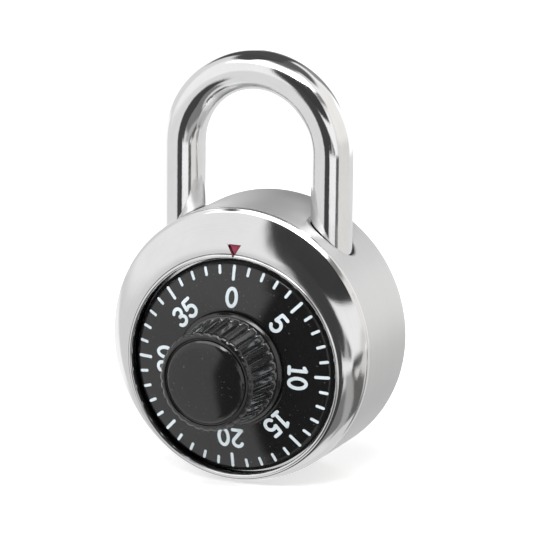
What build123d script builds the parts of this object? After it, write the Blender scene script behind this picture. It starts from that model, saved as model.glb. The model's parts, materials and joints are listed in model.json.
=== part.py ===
"""Combination padlock: drawn round case, numbered dial with a fluted knob, three-wheel pack,
locking lever with a snap latch, and a round-bar shackle that lifts on its long leg.

Frame: X to the right, Z up towards the shackle, the dial faces -Y.
Origin: centre of the round case on its outer back face. Heights are measured forward from there.
"""
import os
from math import asin, cos, degrees, radians, sin

from build123d import *

os.makedirs("parts", exist_ok=True)

# ---------------------------------------------------------------- driving dimensions (mm)
# case, a drawn cup closed by a back cover under its rolled rim
CASE_R = 23.8
CASE_WALL = 0.8
RIM_CREST = 0.2
RIM_ROUND = 1.2
RIM_OPENING_R = 21.2
CREASE_H = 17.9
FLOOR_H = 17.5
FLOOR_TOP = 18.2

# dial axis sits below the case centre
DIAL_Z = -3.3
LIP_R = 18.8
LIP_TOP = 20.8
DIAL_R = 18.5
DIAL_BACK = 18.7
DIAL_FACE = 20.0
DIAL_PEAK = 21.5
DIAL_BULGE = 0.09
MARK_DEPTH = 0.15
TICKS = 40
TICK_OUT = 17.6
TICK_IN = 16.1
TICK_IN_LONG = 15.1
TICK_W = 0.55
NUMBER_R = 12.4
NUMBER_HEIGHT = 3.6
NUMBER_STROKE = 0.6

# index triangle on the bezel, above the dial
INDEX_LOW = 19.7
INDEX_HIGH = 21.9
INDEX_W = 2.5
INDEX_FLOOR = 19.5
INDEX_TOP = 19.9

# knob
SKIRT_R = 9.7
SKIRT_TOP = 22.7
KNOB_BASE_R = 8.9
KNOB_TOP_R = 8.05
KNOB_FLANGE_R = 8.3
KNOB_FLANGE_H = 30.6
KNOB_TOP = 31.5
FLUTES = 32
FLUTE_R = 0.45
CAP_R = 7.2
CAP_EDGE = 32.0
CAP_TOP = 32.35

# inner case, mechanism plate and the posts that join them
INNER_R = 22.95
INNER_WALL = 1.2
INNER_PLATE_H = 16.3
COVER_FLANGE = 1.1
COVER_TOP = 2.1
PLATE_R = 21.7
PLATE_TOP = 3.3
POST_PLACES = [(0, 17.5), (13.0, -14.0), (-13.0, -14.0)]
POST_R = 1.6
TENON_R = 1.0

# shackle, round hardened bar
ROD_R = 3.57
LEG_X = 13.7
SHACKLE_H = 10.6
BEND_Z = 32.7
TOE_Z = 8.2
HEEL_Z = -9.0
HEEL_NECK_R = 2.6
HEEL_COLLAR_Z = -6.1
HEEL_NECK_TOP = 11.6
NOTCH_LOW = 12.0
NOTCH_HIGH = 17.2
NOTCH_X = 12.7
LEG_HOLE_R = 3.95
LEG_HOLE_X = 13.8
LEG_LIP_R = 4.5
LEG_LIP_RISE = 0.15

# wheel pack on the dial axis
SPINDLE_R = 2.5
RUNNING_GAP = 0.05
WHEEL_R = 9.8
WHEEL_T = 1.2
WHEEL_2_H = 9.6
WHEEL_3_H = 11.6
CAM_H = 13.6
CAM_T = 1.4
GATE_W = 2.4
GATE_DEPTH = 2.6
TAB_R = 7.0
TAB_HEIGHT = 0.6

# locking lever, its snap latch and their pins
LEVER_H = 4.4
LEVER_T = 1.6
LEVER_PIVOT = (11.0, 3.4)
FENCE = (2.3, 7.51)
FENCE_R = 0.9
LATCH_PIVOT = (5.4, 17.0)
LATCH_H = 8.8
LATCH_T = 3.6
LATCH_REACH = 6.6
LATCH_REST = -53.5
LATCH_STOP = (8.9, 17.4)
PIN_R = 1.5
LATCH_PIN_R = 0.9


def level(height):
    """Plane parallel to the dial, on the case axis, at a height above the back face."""
    return Plane.XZ.offset(height)


def dial_level(height):
    """The same, centred on the dial axis."""
    return Plane(origin=(0, -height, DIAL_Z), x_dir=(1, 0, 0), z_dir=(0, -1, 0))


def half_plane(centre_z):
    """Half plane through an axis parallel to Y: local x is the radius, local y the height."""
    return Plane(origin=(0, 0, centre_z), x_dir=(1, 0, 0), z_dir=(0, 0, -1))


def dial_angle(number):
    """Direction of a dial number, from +X, with the numbers running clockwise from the top."""
    return 90 - number * 360 / TICKS


def number_angle(number):
    """The same for the printed number; those that start with a 1 sit a little clockwise of their tick."""
    return dial_angle(number) - (1.6 if str(number)[0] == "1" else 0)


# centre lines of the digits, one unit tall and centred
DIGIT_STROKES = {
    "0": [
        ThreePointArc((-0.22, 0.14), (0, 0.42), (0.22, 0.14)),
        Line((0.22, 0.14), (0.22, -0.14)),
        ThreePointArc((0.22, -0.14), (0, -0.42), (-0.22, -0.14)),
        Line((-0.22, -0.14), (-0.22, 0.14)),
    ],
    "1": [
        Line((-0.14, 0.3), (0.02, 0.42)),
        Line((0.02, 0.42), (0.02, -0.42)),
        Line((-0.14, -0.42), (0.18, -0.42)),
    ],
    "2": [
        ThreePointArc((-0.22, 0.22), (0, 0.42), (0.22, 0.2)),
        Line((0.22, 0.2), (-0.22, -0.42)),
        Line((-0.22, -0.42), (0.24, -0.42)),
    ],
    "3": [
        ThreePointArc((-0.2, 0.3), (0.2, 0.22), (-0.04, 0.04)),
        ThreePointArc((-0.04, 0.04), (0.23, -0.2), (-0.22, -0.3)),
    ],
    "5": [
        Line((0.2, 0.42), (-0.18, 0.42)),
        Line((-0.18, 0.42), (-0.2, 0.06)),
        ThreePointArc((-0.2, 0.06), (0.23, -0.15), (-0.22, -0.32)),
    ],
}


def dial_face_line(sink):
    """Gently convex line of the dial's face, from the marks' outer edge to the knob's skirt, sunk by sink."""
    middle = ((TICK_OUT + SKIRT_R) / 2, (DIAL_FACE + DIAL_PEAK) / 2 + DIAL_BULGE - sink)
    return ThreePointArc((TICK_OUT, DIAL_FACE - sink), middle, (SKIRT_R, DIAL_PEAK - sink))


def number_face(number):
    """Flat outline of a dial number, centred, tops towards +Y."""
    digits = str(number)
    face = Sketch()
    for place, char in enumerate(digits):
        shift = (place - (len(digits) - 1) / 2) * 0.68
        for stroke in DIGIT_STROKES[char]:
            face += Pos(shift, 0) * trace(stroke, NUMBER_STROKE / NUMBER_HEIGHT)
    return scale(face, NUMBER_HEIGHT)


DIAL_AXIS = Axis((0, 0, DIAL_Z), (0, 1, 0))
DIAL_HALF = half_plane(DIAL_Z)

# ================================================================ case group
# radius, centre height and level of each ring the bezel is drawn over, from crease to lip
BEZEL_RINGS = [
    (CASE_R, 0, CREASE_H),
    (CASE_R - 1.0, -0.8, CREASE_H + 0.85),
    (LIP_R + 2.5, -2.0, CREASE_H + 1.85),
    (LIP_R + 0.85, DIAL_Z, CREASE_H + 2.6),
]

with BuildPart() as bezel_hollow:
    with BuildSketch(level(FLOOR_H)):
        Circle(CASE_R - 1.5)
    with BuildSketch(level(CREASE_H + 1.2)):
        with Locations((0, -2.4)):
            Circle(LIP_R + 1.2)
    loft(ruled=True)
    with BuildSketch(dial_level(FLOOR_H)):
        Circle(LIP_R + CASE_WALL)
    extrude(amount=4, mode=Mode.SUBTRACT)

with BuildPart() as leg_lips:
    with BuildSketch(level(SHACKLE_H - LEG_LIP_R)):
        Circle(CASE_R + LEG_LIP_RISE)
        Circle(CASE_R - CASE_WALL / 2, mode=Mode.SUBTRACT)
    extrude(amount=2 * LEG_LIP_R)
    with BuildSketch(Plane.XY.offset(TOE_Z)):
        with Locations((-LEG_HOLE_X, -SHACKLE_H), (LEG_HOLE_X, -SHACKLE_H)):
            Circle(LEG_LIP_R)
    extrude(amount=CASE_R, mode=Mode.INTERSECT)

with BuildPart() as outer_case:
    with BuildSketch(level(RIM_CREST)):
        Circle(CASE_R)
    extrude(amount=CREASE_H - RIM_CREST)
    fillet(outer_case.edges().sort_by(Axis.Y)[-1], RIM_ROUND)
    for ring_r, ring_z, ring_h in BEZEL_RINGS:
        with BuildSketch(level(ring_h)):
            with Locations((0, ring_z)):
                Circle(ring_r)
    loft()
    # rounded lip round the dial
    with BuildSketch(DIAL_HALF):
        with Locations((LIP_R + 0.4, LIP_TOP - 0.4)):
            Circle(0.4)
    revolve(axis=DIAL_AXIS)
    add(leg_lips.part)
    # inside of the cup, rim opening, dial recess and spindle hole
    with BuildSketch(level(COVER_FLANGE)):
        Circle(CASE_R - CASE_WALL)
    extrude(amount=FLOOR_H - COVER_FLANGE, mode=Mode.SUBTRACT)
    with BuildSketch(level(0)):
        Circle(RIM_OPENING_R)
    extrude(amount=CASE_WALL * 2, mode=Mode.SUBTRACT)
    add(bezel_hollow.part, mode=Mode.SUBTRACT)
    with BuildSketch(dial_level(FLOOR_TOP)):
        Circle(LIP_R)
    extrude(amount=4, mode=Mode.SUBTRACT)
    with BuildSketch(dial_level(FLOOR_H)):
        Circle(4.0)
    extrude(amount=1, mode=Mode.SUBTRACT)
    # holes for the shackle legs
    with BuildSketch(Plane.XY.offset(TOE_Z)):
        with Locations((-LEG_HOLE_X, -SHACKLE_H), (LEG_HOLE_X, -SHACKLE_H)):
            Circle(LEG_HOLE_R)
    extrude(amount=CASE_R, mode=Mode.SUBTRACT)
    # pocket of the index mark
    with BuildSketch(dial_level(INDEX_FLOOR)):
        with BuildLine():
            Polyline(
                (0, INDEX_LOW),
                (INDEX_W / 2, INDEX_HIGH),
                (-INDEX_W / 2, INDEX_HIGH),
                close=True,
            )
        make_face()
    extrude(amount=2, mode=Mode.SUBTRACT)

with BuildPart() as index_marker:
    with BuildSketch(dial_level(INDEX_FLOOR)):
        with BuildLine():
            Polyline(
                (0, INDEX_LOW),
                (INDEX_W / 2, INDEX_HIGH),
                (-INDEX_W / 2, INDEX_HIGH),
                close=True,
            )
        make_face()
    extrude(amount=INDEX_TOP - INDEX_FLOOR)

with BuildPart() as back_cover:
    with BuildSketch(level(0)):
        Circle(RIM_OPENING_R - 0.1)
    extrude(amount=COVER_FLANGE)
    chamfer(back_cover.edges().sort_by(Axis.Y)[-1], 0.3)
    with BuildSketch(level(COVER_FLANGE)):
        Circle(INNER_R)
    extrude(amount=COVER_TOP - COVER_FLANGE)

with BuildPart() as inner_case:
    with BuildSketch(level(COVER_TOP)):
        Circle(INNER_R)
    extrude(amount=FLOOR_H - COVER_TOP)
    fillet(inner_case.edges().sort_by(Axis.Y)[0], 0.8)
    with BuildSketch(level(COVER_TOP)):
        Circle(INNER_R - INNER_WALL)
    extrude(amount=INNER_PLATE_H - COVER_TOP, mode=Mode.SUBTRACT)
    with BuildSketch(dial_level(INNER_PLATE_H)):
        Circle(4.0)
    extrude(amount=2, mode=Mode.SUBTRACT)
    with BuildSketch(level(INNER_PLATE_H)):
        with Locations(*POST_PLACES):
            Circle(TENON_R)
    extrude(amount=2, mode=Mode.SUBTRACT)
    with BuildSketch(Plane.XY.offset(TOE_Z)):
        with Locations((-LEG_X, -SHACKLE_H), (LEG_X, -SHACKLE_H)):
            Circle(ROD_R + 0.08)
    extrude(amount=CASE_R, mode=Mode.SUBTRACT)

with BuildPart() as mechanism_plate:
    with BuildSketch(level(COVER_TOP)):
        Circle(PLATE_R)
        with Locations(*POST_PLACES):
            Circle(TENON_R, mode=Mode.SUBTRACT)
        with Locations(LEVER_PIVOT):
            Circle(PIN_R, mode=Mode.SUBTRACT)
        with Locations((0, DIAL_Z)):
            Circle(SPINDLE_R, mode=Mode.SUBTRACT)
        with Locations((-16.0, 8.0), (17.5, 6.0), (6.5, -16.5), (-6.5, -16.5)):
            Circle(2.2, mode=Mode.SUBTRACT)
    extrude(amount=PLATE_TOP - COVER_TOP)

with BuildPart() as frame_posts:
    with BuildSketch(level(COVER_TOP)):
        with Locations(*POST_PLACES):
            Circle(TENON_R)
    extrude(amount=FLOOR_H - COVER_TOP)
    with BuildSketch(level(PLATE_TOP)):
        with Locations(*POST_PLACES):
            Circle(POST_R)
    extrude(amount=INNER_PLATE_H - PLATE_TOP)

# ================================================================ shackle group
with BuildPart() as shackle:
    with BuildLine() as bow:
        heel_leg = Line((-LEG_X, -SHACKLE_H, HEEL_Z), (-LEG_X, -SHACKLE_H, BEND_Z))
        bend = ThreePointArc(
            (-LEG_X, -SHACKLE_H, BEND_Z),
            (0, -SHACKLE_H, BEND_Z + LEG_X),
            (LEG_X, -SHACKLE_H, BEND_Z),
        )
        toe_leg = Line((LEG_X, -SHACKLE_H, BEND_Z), (LEG_X, -SHACKLE_H, TOE_Z))
    with BuildSketch(Plane.XY.offset(HEEL_Z)):
        with Locations((-LEG_X, -SHACKLE_H)):
            Circle(ROD_R)
    sweep()
    chamfer(shackle.edges().filter_by(GeomType.CIRCLE).sort_by(Axis.Z)[0], 0.6)
    chamfer(shackle.edges().group_by(Axis.X)[-1].sort_by(Axis.Z)[0], 1.0)
    # long neck that slides in the heel retainer, above the end collar
    with BuildSketch(Plane.XY.offset(HEEL_COLLAR_Z)):
        with Locations((-LEG_X, -SHACKLE_H)):
            Circle(ROD_R + 1)
            Circle(HEEL_NECK_R, mode=Mode.SUBTRACT)
    extrude(amount=HEEL_NECK_TOP - HEEL_COLLAR_Z, mode=Mode.SUBTRACT)
    # latch notch on the inner side of the toe leg
    with BuildSketch(level(SHACKLE_H - ROD_R - 1)):
        with Locations((NOTCH_X, (NOTCH_LOW + NOTCH_HIGH) / 2)):
            Rectangle(5, NOTCH_HIGH - NOTCH_LOW, align=(Align.MAX, Align.CENTER))
    extrude(amount=2 * ROD_R + 2, mode=Mode.SUBTRACT)

with BuildPart() as heel_retainer:
    with BuildSketch(Plane.XY.offset(9.2)):
        with Locations((-13.4, -SHACKLE_H - 0.4)):
            Rectangle(10.2, 10.4)
        with Locations((-LEG_X, -SHACKLE_H)):
            Circle(HEEL_NECK_R + RUNNING_GAP, mode=Mode.SUBTRACT)
            Rectangle(
                2 * (HEEL_NECK_R + RUNNING_GAP),
                12,
                align=(Align.CENTER, Align.MAX),
                mode=Mode.SUBTRACT,
            )
    extrude(amount=1.5)

with BuildPart() as heel_guide:
    with BuildSketch(Plane.XY.offset(-7.5)):
        with Locations((-LEG_X, -SHACKLE_H)):
            Circle(ROD_R + 1.1)
            Circle(ROD_R + 0.08, mode=Mode.SUBTRACT)
        with Locations((-LEG_X + 1.2, -SHACKLE_H)):
            Rectangle(8, 12, align=(Align.MIN, Align.CENTER), mode=Mode.SUBTRACT)
    extrude(amount=16.6)

# ================================================================ dial group
# all the marks as prisms, kept only where they lie in a thin skin under the convex face
with BuildPart() as dial_marks:
    for tick in range(TICKS):
        tick_in = TICK_IN_LONG if tick % 5 == 0 else TICK_IN
        with BuildSketch(dial_level(DIAL_FACE - 1)):
            with PolarLocations((TICK_OUT + tick_in) / 2, 1, start_angle=dial_angle(tick)):
                Rectangle(TICK_OUT - tick_in, TICK_W)
        extrude(amount=3)
    for number in range(0, TICKS, 5):
        with BuildSketch(dial_level(DIAL_FACE - 1)):
            with PolarLocations(NUMBER_R, 1, start_angle=number_angle(number)):
                add(number_face(number), rotation=-90)
        extrude(amount=3)
    with BuildSketch(DIAL_HALF):
        with BuildLine():
            dial_face_line(MARK_DEPTH)
            Polyline(
                (SKIRT_R, DIAL_PEAK - MARK_DEPTH),
                (SKIRT_R, DIAL_PEAK + 1),
                (TICK_OUT, DIAL_FACE + 1),
                (TICK_OUT, DIAL_FACE - MARK_DEPTH),
            )
        make_face()
    revolve(axis=DIAL_AXIS, mode=Mode.INTERSECT)

with BuildPart() as dial:
    with BuildSketch(DIAL_HALF):
        with BuildLine():
            dial_face_line(0)
            Polyline(
                (SKIRT_R, DIAL_PEAK),
                (SKIRT_R - 0.5, DIAL_PEAK),
                (SKIRT_R - 0.5, DIAL_FACE),
                (SPINDLE_R, DIAL_FACE),
                (SPINDLE_R, DIAL_BACK),
                (DIAL_R, DIAL_BACK),
                (DIAL_R, DIAL_FACE - 0.8),
                (TICK_OUT + 0.15, DIAL_FACE),
                (TICK_OUT, DIAL_FACE),
            )
        make_face()
    revolve(axis=DIAL_AXIS)
    add(dial_marks.part, mode=Mode.SUBTRACT)

taper = degrees(asin((KNOB_BASE_R - KNOB_TOP_R) / (KNOB_FLANGE_H - SKIRT_TOP)))
with BuildPart(dial_level(0)) as knob:
    with BuildSketch(DIAL_HALF):
        with BuildLine():
            Polyline(
                (0, DIAL_FACE),
                (SKIRT_R - 0.6, DIAL_FACE),
                (SKIRT_R - 0.6, DIAL_PEAK),
                (SKIRT_R, DIAL_PEAK),
                (SKIRT_R, SKIRT_TOP - 0.4),
                (SKIRT_R - 0.4, SKIRT_TOP),
                (KNOB_BASE_R, SKIRT_TOP),
                (KNOB_TOP_R, KNOB_FLANGE_H),
                (KNOB_FLANGE_R, KNOB_FLANGE_H + 0.05),
                (KNOB_FLANGE_R, KNOB_TOP - 0.3),
                (KNOB_FLANGE_R - 0.3, KNOB_TOP),
                (CAP_R + 0.1, KNOB_TOP),
                (CAP_R + 0.1, KNOB_TOP - 1.0),
                (0, KNOB_TOP - 1.0),
                close=True,
            )
        make_face()
    revolve(axis=DIAL_AXIS)
    with Locations((0, 0, (SKIRT_TOP + KNOB_FLANGE_H) / 2)):
        with PolarLocations((KNOB_BASE_R + KNOB_TOP_R) / 2 + 0.05, FLUTES):
            Cylinder(
                FLUTE_R,
                KNOB_FLANGE_H - SKIRT_TOP - 0.2,
                rotation=(0, -taper, 0),
                mode=Mode.SUBTRACT,
            )
    with BuildSketch(dial_level(DIAL_FACE)):
        Circle(SPINDLE_R)
    extrude(amount=7, mode=Mode.SUBTRACT)

with BuildPart() as knob_cap:
    with BuildSketch(DIAL_HALF):
        with BuildLine():
            ThreePointArc(
                (-CAP_R + 0.15, CAP_EDGE),
                (0, CAP_TOP),
                (CAP_R - 0.15, CAP_EDGE),
            )
            Polyline(
                (CAP_R - 0.15, CAP_EDGE),
                (CAP_R, CAP_EDGE - 0.15),
                (CAP_R, KNOB_TOP - 1.0),
                (-CAP_R, KNOB_TOP - 1.0),
                (-CAP_R, CAP_EDGE - 0.15),
                (-CAP_R + 0.15, CAP_EDGE),
            )
        make_face()
        Rectangle(100, 100, align=(Align.MAX, Align.CENTER), mode=Mode.SUBTRACT)
    revolve(axis=DIAL_AXIS)

with BuildPart() as spindle:
    with BuildSketch(dial_level(CAM_H)):
        Circle(SPINDLE_R)
    extrude(amount=DIAL_FACE + 7 - CAM_H)
    chamfer(spindle.edges().sort_by(Axis.Y)[0], 0.3)

with BuildPart() as spindle_bushing:
    with BuildSketch(dial_level(INNER_PLATE_H - 0.9)):
        Circle(5.4)
    extrude(amount=0.9)
    with BuildSketch(dial_level(INNER_PLATE_H)):
        Circle(4.0)
    extrude(amount=FLOOR_TOP - INNER_PLATE_H)
    with BuildSketch(dial_level(INNER_PLATE_H - 1)):
        Circle(SPINDLE_R + RUNNING_GAP)
    extrude(amount=4, mode=Mode.SUBTRACT)

with BuildPart() as dial_washer:
    with BuildSketch(dial_level(FLOOR_TOP + 0.05)):
        Circle(8.0)
        Circle(SPINDLE_R + 0.3, mode=Mode.SUBTRACT)
    extrude(amount=DIAL_BACK - FLOOR_TOP - 0.1)

# ================================================================ wheel pack
with BuildPart() as drive_cam:
    with BuildSketch(dial_level(CAM_H)):
        Circle(WHEEL_R)
        Circle(SPINDLE_R, mode=Mode.SUBTRACT)
        with PolarLocations(WHEEL_R, 1, start_angle=dial_angle(27)):
            Rectangle(2 * GATE_DEPTH, GATE_W, mode=Mode.SUBTRACT)
        with PolarLocations(6.0, 3, start_angle=dial_angle(2)):
            Circle(1.3, mode=Mode.SUBTRACT)
    extrude(amount=CAM_T)
    with BuildSketch(dial_level(CAM_H - TAB_HEIGHT)):
        with PolarLocations(TAB_R, 1, start_angle=10):
            Rectangle(2.0, 1.0)
    extrude(amount=TAB_HEIGHT + 0.2)

with BuildPart() as wheel_3:
    with BuildSketch(dial_level(WHEEL_3_H)):
        Circle(WHEEL_R)
        Circle(SPINDLE_R + RUNNING_GAP, mode=Mode.SUBTRACT)
        with PolarLocations(WHEEL_R, 1, start_angle=dial_angle(12)):
            Rectangle(2 * GATE_DEPTH, GATE_W, mode=Mode.SUBTRACT)
    extrude(amount=WHEEL_T)
    with BuildSketch(dial_level(WHEEL_3_H - TAB_HEIGHT)):
        with PolarLocations(TAB_R, 1, start_angle=150):
            Rectangle(2.0, 1.0)
    extrude(amount=TAB_HEIGHT + 0.2)
    with BuildSketch(dial_level(WHEEL_3_H + WHEEL_T - 0.2)):
        with PolarLocations(TAB_R, 1, start_angle=0):
            Rectangle(2.0, 1.0)
    extrude(amount=TAB_HEIGHT + 0.2)

with BuildPart() as wheel_2:
    with BuildSketch(dial_level(WHEEL_2_H)):
        Circle(WHEEL_R)
        Circle(SPINDLE_R + RUNNING_GAP, mode=Mode.SUBTRACT)
        with PolarLocations(WHEEL_R, 1, start_angle=dial_angle(34)):
            Rectangle(2 * GATE_DEPTH, GATE_W, mode=Mode.SUBTRACT)
    extrude(amount=WHEEL_T)
    with BuildSketch(dial_level(WHEEL_2_H + WHEEL_T - 0.2)):
        with PolarLocations(TAB_R, 1, start_angle=140):
            Rectangle(2.0, 1.0)
    extrude(amount=TAB_HEIGHT + 0.2)

with BuildPart() as wheel_post:
    with BuildSketch(dial_level(COVER_TOP)):
        Circle(SPINDLE_R)
    extrude(amount=CAM_H - 0.1 - COVER_TOP)
    with BuildSketch(dial_level(PLATE_TOP)):
        Circle(4.4)
    extrude(amount=WHEEL_2_H - 0.8 - PLATE_TOP)
    with BuildSketch(dial_level(WHEEL_3_H + WHEEL_T + 0.1)):
        Circle(SPINDLE_R + 0.5)
        Circle(SPINDLE_R - 0.4, mode=Mode.SUBTRACT)
    extrude(amount=0.45, mode=Mode.SUBTRACT)

with BuildPart() as pack_spring:
    with BuildSketch(DIAL_HALF):
        with BuildLine():
            Polyline(
                (SPINDLE_R + 0.1, WHEEL_2_H - 0.3),
                (4.3, WHEEL_2_H - 0.78),
                (4.3, WHEEL_2_H - 0.53),
                (SPINDLE_R + 0.1, WHEEL_2_H - 0.05),
                close=True,
            )
        make_face()
    revolve(axis=DIAL_AXIS)

with BuildPart() as wheel_spacer:
    with BuildSketch(dial_level(WHEEL_2_H + WHEEL_T + 0.03)):
        Circle(4.6)
        Circle(SPINDLE_R + RUNNING_GAP, mode=Mode.SUBTRACT)
    extrude(amount=WHEEL_3_H - WHEEL_2_H - WHEEL_T - 0.06)

with BuildPart() as wheel_clip:
    with BuildSketch(dial_level(WHEEL_3_H + WHEEL_T + 0.12)):
        Circle(SPINDLE_R + 1.2)
        Circle(SPINDLE_R - 0.38, mode=Mode.SUBTRACT)
        Rectangle(3.0, 4, align=(Align.CENTER, Align.MAX), mode=Mode.SUBTRACT)
    extrude(amount=0.4)

# ================================================================ lever and latch
with BuildPart() as locking_lever:
    for far_end, far_r in ((LATCH_PIVOT, 2.1), (FENCE, 1.5)):
        with BuildSketch(level(LEVER_H)):
            with Locations(LEVER_PIVOT):
                Circle(2.5)
            with Locations(far_end):
                Circle(far_r)
            make_hull()
        extrude(amount=LEVER_T)
    with BuildSketch(level(LEVER_H)):
        with Locations(LATCH_PIVOT):
            Circle(2.1)
        with Locations(LATCH_STOP):
            Circle(0.9)
        make_hull()
    extrude(amount=LEVER_T)
    with BuildSketch(level(LEVER_H)):
        with Locations(LATCH_STOP):
            Circle(0.6)
    extrude(amount=LATCH_H + 2 - LEVER_H)
    with BuildSketch(level(LEVER_H)):
        with Locations(FENCE):
            Circle(FENCE_R)
    extrude(amount=CAM_H + CAM_T - 0.1 - LEVER_H)
    with BuildSketch(level(LEVER_H)):
        with Locations(LEVER_PIVOT):
            Circle(PIN_R + RUNNING_GAP)
        with Locations(LATCH_PIVOT):
            Circle(LATCH_PIN_R)
    extrude(amount=LEVER_T, mode=Mode.SUBTRACT)

with BuildPart() as lever_pin:
    with BuildSketch(level(COVER_TOP)):
        with Locations(LEVER_PIVOT):
            Circle(PIN_R)
    extrude(amount=6.6)
    with BuildSketch(level(PLATE_TOP)):
        with Locations(LEVER_PIVOT):
            Circle(2.3)
    extrude(amount=LEVER_H - RUNNING_GAP - PLATE_TOP)

with BuildPart() as latch_pin:
    with BuildSketch(level(LEVER_H)):
        with Locations(LATCH_PIVOT):
            Circle(LATCH_PIN_R)
    extrude(amount=LATCH_H + LATCH_T + 0.1 - LEVER_H)
    with BuildSketch(level(LATCH_H + LATCH_T + 0.1)):
        with Locations(LATCH_PIVOT):
            Circle(1.5)
    extrude(amount=0.6)

latch_plane = Plane(
    origin=(LATCH_PIVOT[0], -LATCH_H, LATCH_PIVOT[1]),
    x_dir=(cos(radians(LATCH_REST)), 0, sin(radians(LATCH_REST))),
    z_dir=(0, -1, 0),
)
with BuildPart() as latch:
    with BuildSketch(latch_plane):
        Circle(1.7)
        with BuildLine():
            Polyline((0, 1.6), (LATCH_REACH, 0.8), (LATCH_REACH, -0.8), (0, -1.6), close=True)
        make_face()
        Circle(LATCH_PIN_R + RUNNING_GAP, mode=Mode.SUBTRACT)
    extrude(amount=LATCH_T)

with BuildPart() as lever_spring:
    with BuildLine() as lever_wire:
        coil = Helix(
            pitch=0.55,
            height=1.65,
            radius=2.0,
            center=(LEVER_PIVOT[0], -(LEVER_H + LEVER_T + 0.35), LEVER_PIVOT[1]),
            direction=(0, -1, 0),
        )
        Line(coil @ 1, (coil @ 1) + (coil % 1) * 4.5)
    with BuildSketch(Plane(origin=coil @ 0, z_dir=coil % 0)):
        Circle(0.2)
    sweep(path=lever_wire.wires()[0], is_frenet=True)

with BuildPart() as latch_spring:
    with BuildLine() as latch_wire:
        small_coil = Helix(
            pitch=0.45,
            height=1.35,
            radius=1.3,
            center=(LATCH_PIVOT[0], -(LEVER_H + LEVER_T + 0.25), LATCH_PIVOT[1]),
            direction=(0, -1, 0),
        )
        Line(small_coil @ 1, (small_coil @ 1) + (small_coil % 1) * 3.0)
    with BuildSketch(Plane(origin=small_coil @ 0, z_dir=small_coil % 0)):
        Circle(0.15)
    sweep(path=latch_wire.wires()[0], is_frenet=True)

# ================================================================ export, one file per node
NODES = {
    "outer_case": outer_case,
    "inner_case": inner_case,
    "back_cover": back_cover,
    "index_marker": index_marker,
    "mechanism_plate": mechanism_plate,
    "frame_posts": frame_posts,
    "shackle": shackle,
    "heel_retainer": heel_retainer,
    "heel_guide": heel_guide,
    "dial": dial,
    "knob": knob,
    "knob_cap": knob_cap,
    "spindle": spindle,
    "spindle_bushing": spindle_bushing,
    "dial_washer": dial_washer,
    "drive_cam": drive_cam,
    "wheel_3": wheel_3,
    "wheel_2": wheel_2,
    "wheel_post": wheel_post,
    "pack_spring": pack_spring,
    "wheel_spacer": wheel_spacer,
    "wheel_clip": wheel_clip,
    "locking_lever": locking_lever,
    "lever_pin": lever_pin,
    "latch_pin": latch_pin,
    "latch": latch,
    "lever_spring": lever_spring,
    "latch_spring": latch_spring,
}
for node_name, node in NODES.items():
    node.part.label = node_name
    export_step(node.part, f"parts/{node_name}.step")
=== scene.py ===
"""Combination padlock: the looks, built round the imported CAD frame.

Lengths are in mm until a mesh is made. A height runs from the back cover's plane to the front, so a height h
lies at y = -h. Pieces turned on the dial's axis are given by radius and height.
"""
import json
import math

import bmesh
import bpy
from mathutils import Matrix, Vector


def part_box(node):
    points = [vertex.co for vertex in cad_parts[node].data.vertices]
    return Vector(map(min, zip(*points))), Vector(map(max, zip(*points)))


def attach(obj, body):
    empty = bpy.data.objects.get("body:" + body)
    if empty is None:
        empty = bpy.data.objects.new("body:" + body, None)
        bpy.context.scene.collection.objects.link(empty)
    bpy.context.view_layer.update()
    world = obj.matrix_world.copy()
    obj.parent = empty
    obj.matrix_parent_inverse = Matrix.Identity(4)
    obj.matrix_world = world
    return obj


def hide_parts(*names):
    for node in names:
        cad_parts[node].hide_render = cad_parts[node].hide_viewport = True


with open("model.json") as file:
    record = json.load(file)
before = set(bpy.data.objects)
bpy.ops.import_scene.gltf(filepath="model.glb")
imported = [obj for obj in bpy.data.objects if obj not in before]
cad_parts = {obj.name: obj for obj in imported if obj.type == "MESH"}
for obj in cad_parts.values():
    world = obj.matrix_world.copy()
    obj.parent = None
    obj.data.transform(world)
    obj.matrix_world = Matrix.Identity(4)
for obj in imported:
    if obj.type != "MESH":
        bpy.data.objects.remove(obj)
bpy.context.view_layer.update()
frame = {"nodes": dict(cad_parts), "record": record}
MM = 0.001


# ------------------------------------------------------------------ sizes taken from the CAD frame
def box(node):
    """A CAD node's lowest and highest corners in mm."""
    low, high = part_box(node)
    return low / MM, high / MM


case_low, case_high = box("outer_case")
dial_low, dial_high = box("dial")
knob_low, knob_high = box("knob")
cap_low, cap_high = box("knob_cap")
bar_low, bar_high = box("shackle")
mark_low, mark_high = box("index_marker")

CASE_R = (case_high.x - case_low.x) / 2
CASE_BOTTOM = case_low.z
RIM_CREST = -case_high.y
LIP_TOP = -case_low.y
DIAL_Z = (dial_low.z + dial_high.z) / 2
DIAL_R = (dial_high.x - dial_low.x) / 2
DIAL_PEAK = -dial_low.y
DIAL_BACK = -dial_high.y
KNOB_TOP = -knob_low.y
CAP_R = (cap_high.x - cap_low.x) / 2
CAP_TOP = -cap_low.y
ROD_R = (bar_high.y - bar_low.y) / 2
SHACKLE_H = -(bar_high.y + bar_low.y) / 2
LEG_X = bar_high.x - ROD_R
BEND_Z = bar_high.z - ROD_R - LEG_X
HEEL_Z = bar_low.z
MARK_BACK = -mark_high.y
MARK_FRONT = -mark_low.y

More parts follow.
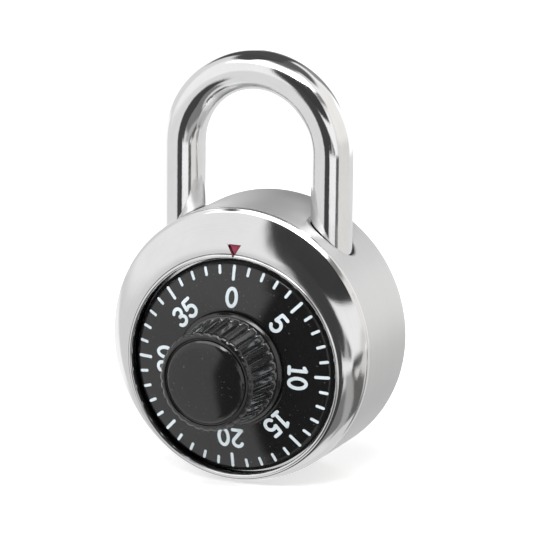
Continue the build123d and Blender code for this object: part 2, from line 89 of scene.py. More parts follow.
# sizes read from the photo, on top of the frame's
WALL = 0.8
CREASE_H = LIP_TOP - 2.9
CREASE_ROUND = 0.55
SEAM_H = 6.0
RIM_OPENING = 21.2
COVER_R = 21.1
COVER_THICK = 1.1
LIP_R = DIAL_R + 0.3
LIP_ROUND = 0.38
LIP_FOOT = LIP_R + 0.9
FLOOR_TOP = DIAL_BACK - 0.5
FLOOR_H = FLOOR_TOP - 0.7
FLOOR_HOLE = 4.0
HOLE_X = LEG_X + 0.08
HOLE_R = 3.86
TOE_Z = 8.2
NECK_R = 2.6
NECK_Z = (-6.1, 11.6)
DIAL_BORE = 2.6
DIAL_FACE = DIAL_PEAK - 1.5
TICK_OUT = 17.6
FLUTES = 32
SKIRT_R = (knob_high.x - knob_low.x) / 2 + 0.15
SKIRT_TOP = DIAL_PEAK + 1.2
BARREL_R = 8.95
BARREL_TOP_R = 8.15
GROOVE = 0.55
FLANGE_H = KNOB_TOP - 0.9
CAP_EDGE = CAP_TOP - 0.6


# ------------------------------------------------------------------ mesh helpers
def arc(cx, cy, radius, start, end, steps):
    """Points of a circular arc, angles in degrees."""
    return ellipse(cx, cy, radius, radius, start, end, steps)


def ellipse(cx, cy, rx, ry, start, end, steps=28):
    """Points of an elliptical arc, angles in degrees."""
    out = []
    for i in range(steps + 1):
        a = math.radians(start + (end - start) * i / steps)
        out.append((cx + rx * math.cos(a), cy + ry * math.sin(a)))
    return out


def rounded(points, radii, steps=6):
    """A polyline whose inner corners are rounded by the given radii (one per point, 0 keeps it sharp)."""
    out = []
    for i, point in enumerate(points):
        p = Vector(point)
        radius = radii[i] if i < len(radii) else 0
        if not radius or i in (0, len(points) - 1):
            out.append(tuple(p))
            continue
        a = (Vector(points[i - 1]) - p).normalized()
        b = (Vector(points[i + 1]) - p).normalized()
        half = a.angle(b) / 2
        reach = radius / math.tan(half)
        centre = p + (a + b).normalized() * (radius / math.sin(half))
        s, e = p + a * reach - centre, p + b * reach - centre
        turn = math.atan2(s.x * e.y - s.y * e.x, s.dot(e))
        for k in range(steps + 1):
            v = Matrix.Rotation(turn * k / steps, 2) @ s
            out.append(tuple(centre + v))
    return out


def link(name, bm):
    """A new object in the scene from a bmesh, which is freed."""
    mesh = bpy.data.meshes.new(name)
    bm.to_mesh(mesh)
    bm.free()
    obj = bpy.data.objects.new(name, mesh)
    bpy.context.scene.collection.objects.link(obj)
    return obj


def grid_mesh(name, rows, closed_rows=False, caps=False):
    """A mesh from rows of points, each row a closed loop. UV: u round the row, v along the rows in mm."""
    bm = bmesh.new()
    uv = bm.loops.layers.uv.new("UVMap")
    loops = [[bm.verts.new(Vector(p) * MM) for p in row] for row in rows]
    n = len(rows[0])
    lengths = [0.0]
    for a, b in zip(rows, rows[1:] + rows[:1]):
        lengths.append(lengths[-1] + (Vector(b[0]) - Vector(a[0])).length)
    for i in range(len(rows) if closed_rows else len(rows) - 1):
        a, b = loops[i], loops[(i + 1) % len(rows)]
        for j in range(n):
            k = (j + 1) % n
            face = bm.faces.new((a[j], a[k], b[k], b[j]))
            face.smooth = True
            corners = ((j, i), (j + 1, i), (j + 1, i + 1), (j, i + 1))
            for loop, (u, v) in zip(face.loops, corners):
                loop[uv].uv = (u / n, lengths[v])
    if caps:
        for row, flip in ((loops[0], True), (loops[-1], False)):
            face = bm.faces.new(row[::-1] if flip else row)
            face.smooth = True
    bmesh.ops.recalc_face_normals(bm, faces=bm.faces[:])
    return link(name, bm)


def ring(radius, height, centre_z, segments, change=None):
    """One turned ring round an axis parallel to Y. change(angle) is added to the radius."""
    out = []
    for j in range(segments):
        a = 2 * math.pi * j / segments
        r = radius + (change(a) if change else 0)
        out.append((r * math.sin(a), -height, centre_z + r * math.cos(a)))
    return out


def lathe(name, profile, centre_z, segments=192, closed=True):
    """A turned piece from (radius, height) points."""
    rows = [ring(r, h, centre_z, segments) for r, h in profile]
    return grid_mesh(name, rows, closed_rows=closed)


def sharpen(obj, degrees=32):
    """Edges sharper than this shade as creases."""
    bm = bmesh.new()
    bm.from_mesh(obj.data)
    for edge in bm.edges:
        if len(edge.link_faces) == 2:
            edge.smooth = edge.calc_face_angle(0) < math.radians(degrees)
    bm.to_mesh(obj.data)
    bm.free()


def cut(obj, *cutters):
    """Takes the cutters out of obj and removes them."""
    for cutter in cutters:
        step = obj.modifiers.new("cut", "BOOLEAN")
        step.operation = "DIFFERENCE"
        step.solver = "EXACT"
        step.object = cutter
    bpy.context.view_layer.update()
    solid = obj.evaluated_get(bpy.context.evaluated_depsgraph_get())
    mesh = bpy.data.meshes.new_from_object(solid)
    obj.modifiers.clear()
    obj.data = mesh
    for cutter in cutters:
        bpy.data.objects.remove(cutter)


def cylinder_z(name, x, height, radius, low, high, segments=96):
    """A capped cylinder parallel to Z."""
    angles = [2 * math.pi * j / segments for j in range(segments)]
    rows = []
    for z in (low, high):
        rows.append([(x + radius * math.cos(a), -height + radius * math.sin(a), z) for a in angles])
    return grid_mesh(name, rows, caps=True)


def prism(name, outline, low, high):
    """A prism along Y over an outline of (x, z) points."""
    rows = [[(x, -h, z) for x, z in outline] for h in (low, high)]
    return grid_mesh(name, rows, caps=True)


def place(obj, body, material, slot, *nodes):
    """Gives obj its material and the body it rides, and hides the CAD nodes it stands for."""
    if material:
        obj.data.materials.clear()
        obj.data.materials.append(material)
    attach(obj, body)
    if nodes:
        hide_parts(*nodes)


# ------------------------------------------------------------------ materials
class Nodes:
    """Short calls for building one node tree."""

    def __init__(self, tree):
        self.tree = tree
        tree.nodes.clear()

    def add(self, kind, inputs=None, **props):
        node = self.tree.nodes.new(kind)
        for key, value in props.items():
            setattr(node, key, value)
        for key, value in (inputs or {}).items():
            self.feed(node.inputs[key], value)
        return node

    def feed(self, socket, value):
        if isinstance(value, bpy.types.NodeSocket):
            self.tree.links.new(value, socket)
        elif isinstance(value, bpy.types.Node):
            self.tree.links.new(value.outputs[0], socket)
        else:
            socket.default_value = value

    def math(self, operation, a, b=0.0):
        return self.add("ShaderNodeMath", {0: a, 1: b}, operation=operation).outputs[0]

    def remap(self, value, low, high, to_low=0.0, to_high=1.0, smooth=False):
        kind = "SMOOTHSTEP" if smooth else "LINEAR"
        inputs = {"Value": value, "From Min": low, "From Max": high, "To Min": to_low, "To Max": to_high}
        return self.add("ShaderNodeMapRange", inputs, interpolation_type=kind).outputs[0]

    def noise(self, vector, scale, detail=3.0, rough=0.55):
        inputs = {"Vector": vector, "Scale": scale, "Detail": detail, "Roughness": rough}
        return self.add("ShaderNodeTexNoise", inputs).outputs["Fac"]

    def bump(self, height, distance):
        return self.add("ShaderNodeBump", {"Strength": 1.0, "Distance": distance, "Height": height})

    def mix(self, share, a, b):
        node = self.add("ShaderNodeMix", data_type="RGBA")
        self.feed(node.inputs[0], share)
        self.feed(node.inputs[6], a)
        self.feed(node.inputs[7], b)
        return node.outputs[2]


def new_material(name):
    material = bpy.data.materials.new(name)
    material.use_nodes = True
    return material, Nodes(material.node_tree)


def scaled(colour, factor):
    """A colour made lighter or darker, its alpha kept at 1."""
    return tuple(min(1.0, c * factor) for c in colour) + (1.0,)


def metal(
    name, colour, roughness, spread=0.04, grain=0.0, grain_size=(30.0, 3.0), pits=0.3, wave=0.0, aniso=0.0
):
    """Metal with cloudy wear, fine pits, a slow waviness and brushing laid out on the UV map."""
    material, n = new_material(name)
    where = n.add("ShaderNodeTexCoord")
    at = where.outputs["Object"]
    cloud = n.noise(at, 110.0, 5.0, 0.6)
    speck = n.noise(at, 5200.0, 2.0, 0.65)
    swell = n.noise(at, 210.0, 1.0, 0.4)
    brush_at = n.add("ShaderNodeMapping", {"Vector": where.outputs["UV"], "Scale": (*grain_size, 1.0)})
    brush = n.noise(brush_at.outputs[0], 1.0, 5.0, 0.7)
    tone = n.mix(n.remap(cloud, 0.3, 0.7), scaled(colour, 0.93), scaled(colour, 1.0))
    streak = n.math("MULTIPLY", n.remap(brush, 0.4, 0.65), grain)
    tone = n.mix(streak, tone, scaled(colour, 1.05))
    rough = n.remap(cloud, 0.3, 0.7, roughness - spread, roughness + spread)
    rough = n.math("ADD", rough, n.remap(brush, 0.3, 0.7, -grain * 0.05, grain * 0.05))
    fine = n.bump(speck, 0.0000012 * pits)
    brushed = n.bump(brush, 0.000002 * grain)
    slow = n.bump(swell, 0.00008 * wave)
    n.feed(brushed.inputs["Normal"], fine)
    n.feed(slow.inputs["Normal"], brushed)
    finish = {"Base Color": tone, "Metallic": 1.0, "Roughness": rough, "Normal": slow}
    shader = n.add("ShaderNodeBsdfPrincipled", finish)
    if aniso:
        shader.inputs["Anisotropic"].default_value = aniso
        shader.inputs["Anisotropic Rotation"].default_value = 0.25
        n.feed(shader.inputs["Tangent"], n.add("ShaderNodeTangent", direction_type="UV_MAP", uv_map="UVMap"))
    n.add("ShaderNodeOutputMaterial", {"Surface": shader})
    return material


def plastic(name, colour, roughness, peel=0.5, ior=1.5, dust=0.0):
    """Moulded plastic or paint with a faint orange peel, cloudy gloss and a little dust."""
    material, n = new_material(name)
    where = n.add("ShaderNodeTexCoord").outputs["Object"]
    skin = n.noise(where, 420.0, 2.0, 0.4)
    cloud = n.noise(where, 150.0, 4.0)
    specks = n.remap(n.noise(where, 2600.0, 1.0, 0.5), 0.735, 0.76)
    tone = n.mix(n.remap(cloud, 0.3, 0.7), scaled(colour, 1.0), scaled(colour, 0.8))
    tone = n.mix(n.math("MULTIPLY", specks, dust), tone, (0.2, 0.2, 0.2, 1.0))
    rough = n.remap(cloud, 0.3, 0.7, roughness * 0.75, roughness * 1.3)
    rough = n.math("ADD", rough, n.math("MULTIPLY", specks, 0.3 * dust))
    bump = n.bump(skin, 0.000012 * peel)
    finish = {"Base Color": tone, "Roughness": rough, "Normal": bump, "IOR": ior}
    n.add("ShaderNodeOutputMaterial", {"Surface": n.add("ShaderNodeBsdfPrincipled", finish)})
    return material


polished = metal("polished_steel", (0.77, 0.77, 0.775), 0.08, 0.03, 0.4, (3.0, 7.0), 2.6, 0.5)
satin = metal("satin_steel", (0.72, 0.72, 0.725), 0.48, 0.04, 0.9, (3.0, 10.0), 0.6, 0.4, 0.8)
bar_steel = metal("bar_steel", (0.86, 0.86, 0.865), 0.075, 0.025, 0.3, (30.0, 0.3), 3.5, 0.3)
back_steel = metal("back_steel", (0.80, 0.80, 0.81), 0.28, 0.04, 0.8, (2.0, 9.0), 0.6, 0.4, 0.6)
zinc = metal("zinc_steel_look", (0.58, 0.59, 0.58), 0.38, 0.08, pits=2.0)
turned_steel = metal("pin_steel_look", (0.62, 0.62, 0.62), 0.25, 0.05, pits=1.0)
spring = metal("spring_steel_look", (0.42, 0.42, 0.44), 0.3, 0.05, pits=1.0)
brass = metal("brass_look", (0.78, 0.58, 0.26), 0.3, 0.07, pits=1.5)
dial_black = plastic("dial_black", (0.0085, 0.0085, 0.0088), 0.07, 0.3, 1.62, 0.35)
knob_black = plastic("knob_black", (0.0085, 0.0085, 0.0088), 0.12, 0.6, 1.62, 0.3)
# The fluted barrel's copy of the knob's black plastic, made about twice as light: painted sheen standing in
# for the grey its ridges take from reflected light.
flute_black_painted_sheen = plastic("flute_black_painted_sheen", (0.018, 0.018, 0.0185), 0.13, 0.15, 2.1, 0.3)
cap_black = plastic("cap_black", (0.0085, 0.0085, 0.0088), 0.10, 0.4, 1.60, 0.35)
paint_white = plastic("paint_white", (0.72, 0.80, 0.84), 0.4, 1.0)
paint_red = plastic("paint_red", (0.36, 0.035, 0.085), 0.3, 3.0)
nylon = plastic("nylon_white", (0.7, 0.7, 0.66), 0.5, 1.0)

LOOKS = {
    "case_steel": satin,
    "shackle_steel": bar_steel,
    "zinc_steel": zinc,
    "pin_steel": turned_steel,
    "spring_steel": spring,
    "brass": brass,
    "dial_plastic": dial_black,
    "knob_plastic": knob_black,
    "washer_plastic": nylon,
    "red_paint": paint_red,
}


def dress_cad_nodes():
    """The CAD nodes that stay, such as the mechanism, take the look of their material slot."""
    slot_of = {s["node"]: s["material_slot"] for s in frame["record"]["subparts"]}
    for node_name, node in frame["nodes"].items():
        if not node.material_slots:
            node.data.materials.append(None)
        for holder in node.material_slots:
            holder.link = "OBJECT"
            holder.material = LOOKS[slot_of[node_name]]


# ------------------------------------------------------------------ outer case
def bezel_ring(t):
    """Radius, height and centre of the domed front ring, t 0 at the crease and 1 at the lip's foot."""
    radius = CASE_R + (LIP_FOOT - CASE_R) * t
    height = CREASE_H + (LIP_TOP - 0.3 - CREASE_H) * (1 - (1 - t) ** 1.6)
    return radius, height, DIAL_Z * t


def make_outer_case():
    """The drawn cup: rolled rear rim, satin side wall, polished front ring, lip and floor under the dial."""
    segments = 256
    profile = []
    rim = [(RIM_OPENING, COVER_THICK), (RIM_OPENING, RIM_CREST), (CASE_R, RIM_CREST), (CASE_R, SEAM_H)]
    for r, h in rounded(rim, [0, 0.3, 1.2, 0], 10):
        profile.append((r, h, 0.0))
    for i in range(1, 9):
        profile.append((CASE_R, SEAM_H + (CREASE_H - CREASE_ROUND - SEAM_H) * i / 8, 0.0))
    satin_rows = len(profile) - 1
    for r, h in arc(CASE_R - CREASE_ROUND, CREASE_H - CREASE_ROUND, CREASE_ROUND, 0, 60, 8)[1:]:
        profile.append((r, h, 0.0))
    for i in range(4, 49):
        profile.append(bezel_ring(i / 48))
    for r, h in arc(LIP_R + LIP_ROUND + 0.06, LIP_TOP - LIP_ROUND, LIP_ROUND, -25, 180, 14):
        profile.append((r, h, DIAL_Z))
    for r, h in [(LIP_R + 0.02, FLOOR_TOP), (FLOOR_HOLE, FLOOR_TOP), (FLOOR_HOLE, FLOOR_H)]:
        profile.append((r, h, DIAL_Z))
    for h in (FLOOR_H, COVER_THICK):
        profile.append((CASE_R - WALL, h, 0.0))
    rows = [ring(r, h, z, segments) for r, h, z in profile]
    case = grid_mesh("outer_case_look", rows, closed_rows=True)
    case.data.materials.append(polished)
    case.data.materials.append(satin)
    for face in case.data.polygons:
        face.material_index = 1 if face.index // segments < satin_rows else 0
    cutters = []
    for side in (-1, 1):
        cutters.append(cylinder_z("hole_cutter", side * HOLE_X, SHACKLE_H, HOLE_R, TOE_Z, CASE_R + 4))
    pocket = [(0.0, 15.75), (1.3, 18.0), (-1.3, 18.0)]
    cutters.append(prism("pocket_cutter", pocket, MARK_BACK, LIP_TOP + 1))
    cut(case, *cutters)
    sharpen(case, 30)
    place(case, "case", None, "case_steel", "outer_case")


def make_hole_lip(side, label):
    """A rolled lip round a leg hole, following the side wall."""
    out_by, up_by = 0.17, 0.09
    rows = []
    for k in range(13):
        a = math.pi * k / 12
        radius, up = HOLE_R + out_by * (1 - math.cos(a)), up_by * math.sin(a)
        row = []
        for j in range(96):
            b = 2 * math.pi * j / 96
            x = side * HOLE_X + radius * math.cos(b)
            y = -SHACKLE_H + radius * math.sin(b)
            normal = Vector((x, math.sqrt(CASE_R**2 - x * x))) / CASE_R
            row.append((x + normal.x * up, y, normal.y * (CASE_R + up - 0.04)))
        rows.append(row)
    place(grid_mesh(f"{label}_hole_lip", rows), "case", satin, "case_steel")


def make_index_mark():
    """The painted triangle, set in the case's pocket with a narrow gap round it."""
    outline = [(0.0, 16.1), (1.06, 17.86), (-1.06, 17.86)]
    marker = prism("index_mark_look", outline, MARK_BACK, MARK_FRONT)
    soften = marker.modifiers.new("soften", "BEVEL")
    soften.width = 0.12 * MM
    soften.segments = 3
    place(marker, "case", paint_red, "red_paint", "index_marker")


def make_back_cover():
    """The rear disc, with a shallow groove near its edge."""
    groove = [(19.6, 0.0), (20.0, 0.25), (20.5, 0.25), (20.7, 0.0)]
    outer = [(COVER_R, 0.0), (COVER_R, COVER_THICK), (0.001, COVER_THICK)]
    profile = rounded([(0.001, 0.0), *groove, *outer], [0, 0.3, 0.2, 0.2, 0.15, 0.2, 0], 5)
    cover = lathe("back_cover_look", profile, 0.0, closed=False)
    sharpen(cover)
    place(cover, "case", back_steel, "case_steel", "back_cover")


# ------------------------------------------------------------------ shackle
def bar_path():
    """The bar's centre points (x, z), its direction and its radius: heel end, neck, leg, bend, toe leg."""
    out = []
    neck_low, neck_high = NECK_Z
    heel = [(HEEL_Z, 2.9), (HEEL_Z + 0.65, ROD_R), (neck_low, ROD_R), (neck_low, NECK_R)]
    heel += [(neck_high, NECK_R), (neck_high, ROD_R)]
    for z, r in heel:
        out.append(((-LEG_X, z), (0, 1), r))
    for i in range(1, 13):
        out.append(((-LEG_X, neck_high + (BEND_Z - neck_high) * i / 13), (0, 1), ROD_R))
    for i in range(65):
        a = math.pi * (1 - i / 64)
        point = (LEG_X * math.cos(a), BEND_Z + LEG_X * math.sin(a))
        out.append((point, (math.sin(a), -math.cos(a)), ROD_R))
    for i in range(1, 13):
        out.append(((LEG_X, BEND_Z + (TOE_Z + 1.0 - BEND_Z) * i / 12), (0, -1), ROD_R))
    out.append(((LEG_X, TOE_Z + 0.3), (0, -1), 2.9))
    out.append(((LEG_X, TOE_Z), (0, -1), 2.5))
    return out


def make_shackle():
    """The bent bar, thinned by a twentieth across its bend, with the latch's notch in the toe leg."""
    rows = []
    for (x, z), (tx, tz), r in bar_path():
        thinned = 1 - 0.05 * tx * tx if z > BEND_Z else 1.0
        row = []
        for j in range(96):
            a = 2 * math.pi * j / 96
            side, deep = r * thinned * math.cos(a), r * math.sin(a)
            row.append((x + tz * side, -SHACKLE_H + deep, z - tx * side))
        rows.append(row)
    bar = grid_mesh("shackle_look", rows, caps=True)
    notch = [(8, 12.0), (LEG_X - 1, 12.0), (LEG_X - 1, 17.2), (8, 17.2)]
    cut(bar, prism("notch_cutter", notch, 5, 16))
    sharpen(bar, 35)
    place(bar, "shackle", bar_steel, "shackle_steel", "shackle")


# ------------------------------------------------------------------ dial
def face_height(radius):
    """Height of the dial's gently convex face."""
    t = (TICK_OUT - radius) / (TICK_OUT - SKIRT_R)
    return DIAL_FACE + (DIAL_PEAK - DIAL_FACE) * t + 0.36 * t * (1 - t)


def make_dial():
    """The disc: a dropped rim outside the ticks and a convex face up to the knob's skirt."""
    rim = [(DIAL_BORE, DIAL_BACK), (DIAL_R, DIAL_BACK), (DIAL_R, DIAL_FACE - 0.75)]
    rim += [(TICK_OUT + 0.12, DIAL_FACE + 0.02), (TICK_OUT, DIAL_FACE)]
    face = []
    for k in range(1, 13):
        r = TICK_OUT + (SKIRT_R - 0.1 - TICK_OUT) * k / 12
        face.append((r, face_height(r)))
    inner = [(SKIRT_R - 0.5, DIAL_PEAK - 0.3), (DIAL_BORE, DIAL_PEAK - 0.3)]
    dial = lathe("dial_look", rounded(rim + face + inner, [0, 0.15, 0.25, 0.08, 0.08], 4), DIAL_Z, 256)
    sharpen(dial, 50)
    place(dial, "dial", dial_black, "dial_plastic", "dial")


# each digit as pen strokes about its middle, x to the right and y up
DIGITS = {
    "0": [ellipse(0, 0, 0.86, 1.6, 0, 360, 48)],
    "1": [[(-0.5, 1.15), (0.08, 1.58)], [(0.08, 1.58), (0.08, -1.6)], [(-0.5, -1.6), (0.66, -1.6)]],
    "2": [ellipse(0, 0.78, 0.82, 0.82, 165, -38) + [(-0.8, -1.6)], [(-0.8, -1.6), (0.85, -1.6)]],
    "3": [ellipse(0, 0.8, 0.78, 0.8, 152, -90), ellipse(0, -0.78, 0.86, 0.82, 90, -152)],
    "5": [[(0.72, 1.6), (-0.62, 1.6), (-0.74, 0.12)], ellipse(-0.04, -0.62, 0.88, 0.98, 131, -150)],
}
DIGIT_WIDTH = {"0": 2.3, "1": 1.6, "2": 2.3, "3": 2.25, "5": 2.25}
DIGIT_GAP = 0.32
DIGIT_HEIGHT = 0.93
DIGIT_PEN = 0.6
NUMBER_R = 12.3


def stroke(bm, points, width, to_dial, closed=False):
    """A flat round-ended stroke laid on the dial. to_dial turns a local point into a point on the face."""
    half = width / 2
    dense = [points[0]]
    for a, b in zip(points, points[1:]):
        steps = max(1, int(math.dist(a, b) / 0.25))
        for i in range(1, steps + 1):
            dense.append((a[0] + (b[0] - a[0]) * i / steps, a[1] + (b[1] - a[1]) * i / steps))
    left, right = [], []
    for i, p in enumerate(dense):
        a, b = dense[max(0, i - 1)], dense[min(len(dense) - 1, i + 1)]
        t = Vector((b[0] - a[0], b[1] - a[1])).normalized()
        left.append(bm.verts.new(to_dial(p[0] - t.y * half, p[1] + t.x * half)))
        right.append(bm.verts.new(to_dial(p[0] + t.y * half, p[1] - t.x * half)))
    for i in range(len(dense) - 1):
        bm.faces.new((left[i], right[i], right[i + 1], left[i + 1]))
    if closed:
        return
    round_end(bm, dense[0], dense[1], left[0], right[0], half, to_dial)
    round_end(bm, dense[-1], dense[-2], right[-1], left[-1], half, to_dial)


def round_end(bm, end, near, first, last, half, to_dial):
    """The half disc that ends a stroke, between its last two corners."""
    t = Vector((end[0] - near[0], end[1] - near[1])).normalized()
    fan = []
    for k in range(1, 8):
        a = math.pi * k / 8 - math.pi / 2
        d = Vector((t.x * math.cos(a) - t.y * math.sin(a), t.y * math.cos(a) + t.x * math.sin(a))) * half
        fan.append(bm.verts.new(to_dial(end[0] + d.x, end[1] + d.y)))
    bm.faces.new([first] + fan + [last])


def on_dial(angle, radius, rise=0.02):
    """Local (x across, y outward) about a point on the face, clockwise angle from the top."""
    a = math.radians(angle)

    def to_dial(x, y):
        px = (radius + y) * math.sin(a) + x * math.cos(a)
        pz = (radius + y) * math.cos(a) - x * math.sin(a)
        r = math.hypot(px, pz)
        return Vector((px, -(face_height(min(r, TICK_OUT)) + rise), pz + DIAL_Z)) * MM

    return to_dial


def number_place(number):
    """Numbers that start with a 1 sit a little clockwise, and 25 a little nearer the knob."""
    shift = 1.6 if str(number)[0] == "1" else 0
    return on_dial(number * 9 + shift, NUMBER_R - 0.4 if number == 25 else NUMBER_R)


def make_dial_marks():
    """The painted ticks, 40 round the dial with every fifth one long, and the numbers by the long ones."""
    bm = bmesh.new()
    for tick in range(40):
        long = tick % 5 == 0
        inner = (15.1 if long else 16.1) + 0.27
        width = 0.54 if long else 0.5
        stroke(bm, [(0, inner - 16), (0, TICK_OUT - 16 - 0.1)], width, on_dial(tick * 9, 16))
    for number in range(0, 40, 5):
        digits = str(number)
        x = -(sum(DIGIT_WIDTH[d] for d in digits) + DIGIT_GAP * (len(digits) - 1)) / 2
        for d in digits:
            mid = x + DIGIT_WIDTH[d] / 2
            for line in DIGITS[d]:
                points = [(px + mid, py * DIGIT_HEIGHT) for px, py in line]
                stroke(bm, points, DIGIT_PEN, number_place(number), closed=(d == "0"))
            x += DIGIT_WIDTH[d] + DIGIT_GAP
    bmesh.ops.recalc_face_normals(bm, faces=bm.faces[:])
    for face in bm.faces:
        if face.normal.y > 0:
            face.normal_flip()
    marks = link("dial_marks_look", bm)
    thick = marks.modifiers.new("paint", "SOLIDIFY")
    thick.thickness = 0.06 * MM
    place(marks, "dial", paint_white, "dial_plastic")


# ------------------------------------------------------------------ knob
def flute(depth):
    """Radius change of a ring of round-bottomed grooves with flat ridges between them."""

    def change(angle):
        phase = (angle * FLUTES / (2 * math.pi)) % 1.0
        off = abs(phase - 0.5) * 2 / 0.44
        return -depth * math.sqrt(1 - off**2.4) if off < 1 else 0.0

    return change


def barrel_row(t, segments):
    """A ring of the tapered barrel, t 0 at its flared foot, where the grooves run out, and 1 at the flange."""
    height = SKIRT_TOP + 0.03 + (FLANGE_H - SKIRT_TOP - 0.03) * t
    foot = max(0.0, 1 - (height - SKIRT_TOP) / 0.5)
    flare = (1 - math.sqrt(1 - foot * foot)) * 0.25
    run = min(1.0, (height - SKIRT_TOP) / 0.75)
    depth = math.sqrt(max(0.0, 1 - (1 - run) ** 2)) * GROOVE
    radius = BARREL_R + (BARREL_TOP_R - BARREL_R) * t + flare
    return ring(radius, height, DIAL_Z, segments, flute(depth))


def make_knob():
    """Chamfered skirt, fluted barrel, thin flange with the flutes' ends, and the recess for the cap."""
    segments = FLUTES * 20
    skirt = [(8.0, DIAL_PEAK - 0.25), (SKIRT_R, DIAL_PEAK - 0.25), (SKIRT_R, SKIRT_TOP - 0.45)]
    skirt += [(SKIRT_R - 0.45, SKIRT_TOP), (BARREL_R + 0.25, SKIRT_TOP + 0.02)]
    rows = [ring(r, h, DIAL_Z, segments) for r, h in rounded(skirt, [0, 0, 0.3, 0.3, 0], 6)]
    barrel_from = len(rows) - 1
    for i in range(33):
        rows.append(barrel_row((i / 32) ** 1.6, segments))
    barrel_to = len(rows)
    flange = (
        (FLANGE_H + 0.06, -0.02, 0.4),
        (FLANGE_H + 0.14, 0.32, 0.2),
        (FLANGE_H + 0.26, 0.45, 0.15),
        (FLANGE_H + 0.4, 0.42, 0.14),
        (KNOB_TOP - 0.28, 0.2, 0.1),
        (KNOB_TOP - 0.1, -0.08, 0.06),
    )
    for height, out_by, depth in flange:
        rows.append(ring(BARREL_TOP_R + out_by, height, DIAL_Z, segments, flute(depth)))
    recess = [(BARREL_TOP_R - 0.3, KNOB_TOP), (7.62, KNOB_TOP + 0.02), (7.5, KNOB_TOP - 0.3)]
    recess += [(CAP_R + 0.06, KNOB_TOP - 0.3), (CAP_R - 0.2, KNOB_TOP - 0.95), (0.3, KNOB_TOP - 0.95)]
    for r, h in rounded(recess, [0, 0.12, 0.06, 0.06, 0], 4):
        rows.append(ring(r, h, DIAL_Z, segments))
    knob = grid_mesh("knob_look", rows)
    knob.data.materials.append(knob_black)
    # The barrel rows take the lightened black, whose extra lightness is painted sheen.
    knob.data.materials.append(flute_black_painted_sheen)
    for face in knob.data.polygons:
        face.material_index = int(barrel_from <= face.index // segments < barrel_to)
    sharpen(knob, 100)
    place(knob, "dial", None, "knob_plastic", "knob")


def make_knob_cap():
    """The slightly domed disc let into the knob."""
    profile = [(CAP_R, KNOB_TOP - 0.9), (CAP_R, CAP_EDGE - 0.3), (CAP_R - 0.4, CAP_EDGE)]
    for k in range(1, 12):
        share = 1 - k / 12
        profile.append((CAP_R * share, CAP_EDGE + (CAP_TOP - CAP_EDGE) * (1 - share**2)))
    profile.append((0.01, CAP_TOP))
    cap = lathe("knob_cap_look", rounded(profile, [0, 0.18, 0.25], 6), DIAL_Z, closed=False)
    sharpen(cap, 50)
    place(cap, "dial", cap_black, "knob_plastic", "knob_cap")


# ------------------------------------------------------------------ floor, world, lights, camera
def make_floor():
    """A pale paper floor that glows a little, so that it meets the white backdrop."""
    bpy.ops.mesh.primitive_plane_add(size=6.0, location=(0, 0, CASE_BOTTOM * MM))
    floor = bpy.context.object
    floor.name = "floor"
    material, n = new_material("floor_paper")
    where = n.add("ShaderNodeTexCoord").outputs["Object"]
    tone = n.mix(n.noise(where, 8.0), (0.86, 0.86, 0.86, 1), (0.9, 0.9, 0.9, 1))
    paper = n.add("ShaderNodeBsdfDiffuse", {"Color": tone})
    glow = n.add("ShaderNodeEmission", {"Color": (1, 1, 1, 1), "Strength": 0.42})
    n.add("ShaderNodeOutputMaterial", {"Surface": n.add("ShaderNodeAddShader", {0: paper, 1: glow})})
    floor.data.materials.append(material)
    floor.visible_glossy = False


def window(n, value, low, high, soft):
    """1 between low and high, falling to 0 over soft degrees outside."""
    rise = n.remap(value, low - soft, low, smooth=True)
    fall = n.remap(value, high, high + soft, 1.0, 0.0, smooth=True)
    return n.math("MULTIPLY", rise, fall)


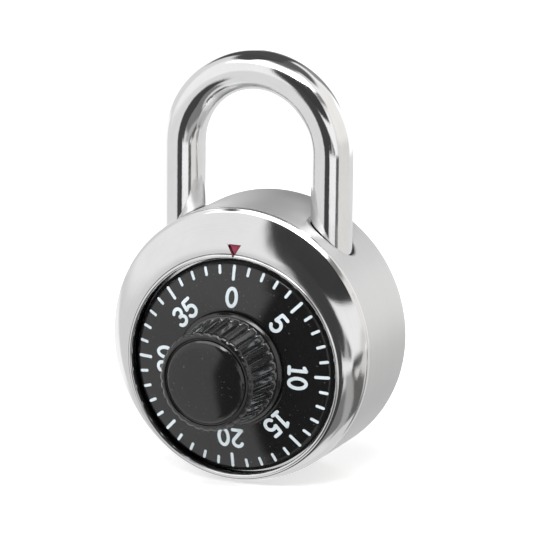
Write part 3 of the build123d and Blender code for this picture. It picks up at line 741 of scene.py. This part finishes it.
def make_world():
    """The studio as the metal mirrors it. The camera itself sees plain white."""
    world = bpy.data.worlds.new("studio")
    bpy.context.scene.world = world
    bpy.context.scene.view_settings.view_transform = "Standard"
    world.use_nodes = True
    n = Nodes(world.node_tree)
    direction = n.add("ShaderNodeTexCoord").outputs["Generated"]
    xyz = n.add("ShaderNodeSeparateXYZ", {"Vector": direction})
    turn = n.math("ARCTAN2", xyz.outputs[0], n.math("MULTIPLY", xyz.outputs[1], -1.0))
    around = n.math("MULTIPLY", turn, 57.2958)
    above = n.math("MULTIPLY", n.math("ARCSINE", xyz.outputs[2]), 57.2958)
    behind = n.math("ABSOLUTE", around)
    card_top = n.math("SUBTRACT", above, n.math("MULTIPLY", n.math("ADD", around, 7.0), 0.15))
    card_side = n.math("SUBTRACT", around, n.math("MULTIPLY", above, 0.45))
    slope = n.math("MULTIPLY", n.math("SUBTRACT", around, 29.25), 0.73)
    diagonal = n.math("ADD", above, slope)
    # soft boxes and black cards of the studio, painted one over another: a sideways angle (0 in front of the
    # lock, positive to the viewer's right) with its limits and softness, a height angle with its limits and
    # softness, and the brightness. All angles are in degrees
    panels = (
        (around, -75, -18, 14, above, 6, 46, 12, 1.0),
        (around, 62, 185, 10, above, 8, 54, 10, 0.97),
        (behind, 132, 185, 6, above, -7, 26, 5, 1.25),
        (behind, 158, 185, 6, above, 17, 40, 6, 0.3),
        (around, -165, -98, 8, above, -22, -4, 6, 1.15),
        (around, -62, 50, 8, above, 45, 66, 5, 2.6),
        (around, 8, 50, 5, above, 47, 63, 3, 8.0),
        (around, -185, -118, 8, above, 31, 95, 8, 0.08),
        (around, -120, -52, 8, above, 55, 95, 7, 0.07),
        (around, 98, 185, 10, above, 60, 95, 8, 0.12),
        (around, -52, 98, 10, above, 78, 95, 6, 0.15),
        (around, -8, 50, 5, above, -10, 24, 5, 1.05),
        (around, -8, 70, 6, above, -52, -24, 6, 0.22),
        (around, 22, 90, 5, diagonal, -17, -5, 4, 0.45),
        (around, 30, 90, 6, diagonal, -4.2, -1.8, 1.6, 0.12),
        (around, 62, 92, 5, diagonal, -4.2, 5, 2.5, 0.15),
        (around, -11, 40, 5, card_top, 8.5, 42, 2.5, 0.05),
        (card_side, -12.5, 22, 4, diagonal, -46, -5, 3.5, 0.06),
        (around, -17, 14, 4, above, -37, -14, 4, 0.06),
        (around, 46, 64, 3, above, 36, 46, 4, 0.3),
        (around, -12, 7, 2.5, above, -13.6, -9.8, 1.2, 0.06),
        (around, 9, 42, 2, above, -13.6, -9.8, 1.2, 1.05),
        (around, 44, 57, 2, above, -13.6, -9.8, 1.2, 0.09),
        (around, -200, 200, 5, above, -95, -66, 6, 0.9),
    )
    light = 0.80
    for a0, a1, a2, a3, e0, e1, e2, e3, value in panels:
        mask = n.math("MULTIPLY", window(n, a0, a1, a2, a3), window(n, e0, e1, e2, e3))
        keep = n.math("SUBTRACT", 1.0, mask)
        light = n.math("ADD", n.math("MULTIPLY", light, keep), n.math("MULTIPLY", mask, value))
    warm_side = n.math("MULTIPLY", window(n, around, 60, 120, 20), window(n, above, -30, 40, 15))
    tint = n.mix(warm_side, (1, 1, 1, 1), (1, 0.985, 0.955, 1))
    seen = n.add("ShaderNodeLightPath").outputs["Is Camera Ray"]
    strength = n.add("ShaderNodeMix", data_type="FLOAT")
    for socket, value in zip((0, 2, 3), (seen, light, 1.0)):
        n.feed(strength.inputs[socket], value)
    background = n.add("ShaderNodeBackground", {"Color": tint, "Strength": strength.outputs[0]})
    n.add("ShaderNodeOutputWorld", {"Surface": background})


def soft_light(name, at, size, power):
    """An area lamp aimed at the lock. The metal doesn't mirror it."""
    data = bpy.data.lights.new(name, "AREA")
    data.size = size
    data.energy = power
    lamp = bpy.data.objects.new(name, data)
    bpy.context.scene.collection.objects.link(lamp)
    lamp.location = at
    lamp.rotation_euler = (Vector((0, 0, 0.01)) - Vector(at)).to_track_quat("-Z", "Y").to_euler()
    lamp.visible_glossy = False


def make_camera():
    """The camera fitted to the photo: degrees round, above and rolled, its distance and its lens in mm."""
    around, above, roll = (math.radians(v) for v in (23.80, 13.65, 0.56))
    distance, lens = 644.8, 258.9
    target = Vector((5.885, -DIAL_FACE, 14.77))
    back = Vector((math.sin(around) * math.cos(above), -math.cos(around) * math.cos(above), math.sin(above)))
    right = Vector((math.cos(around), math.sin(around), 0))
    up = back.cross(right)
    x_axis = right * math.cos(roll) + up * math.sin(roll)
    y_axis = up * math.cos(roll) - right * math.sin(roll)
    data = bpy.data.cameras.new("camera")
    data.lens = lens
    data.sensor_width = 36.0
    data.clip_start = 0.01
    data.clip_end = 20.0
    camera = bpy.data.objects.new("camera", data)
    bpy.context.scene.collection.objects.link(camera)
    axes = Matrix((x_axis, y_axis, back)).transposed().to_4x4()
    camera.matrix_world = Matrix.Translation((target + back * distance) * MM) @ axes
    bpy.context.scene.camera = camera


dress_cad_nodes()
make_outer_case()
make_hole_lip(-1, "heel")
make_hole_lip(1, "toe")
make_index_mark()
make_back_cover()
make_shackle()
make_dial()
make_dial_marks()
make_knob()
make_knob_cap()
make_floor()
make_world()
soft_light("key", (-0.5, -0.6, 1.0), 0.9, 3.0)
soft_light("rear", (0.2, 0.7, 0.9), 0.9, 2.0)
make_camera()
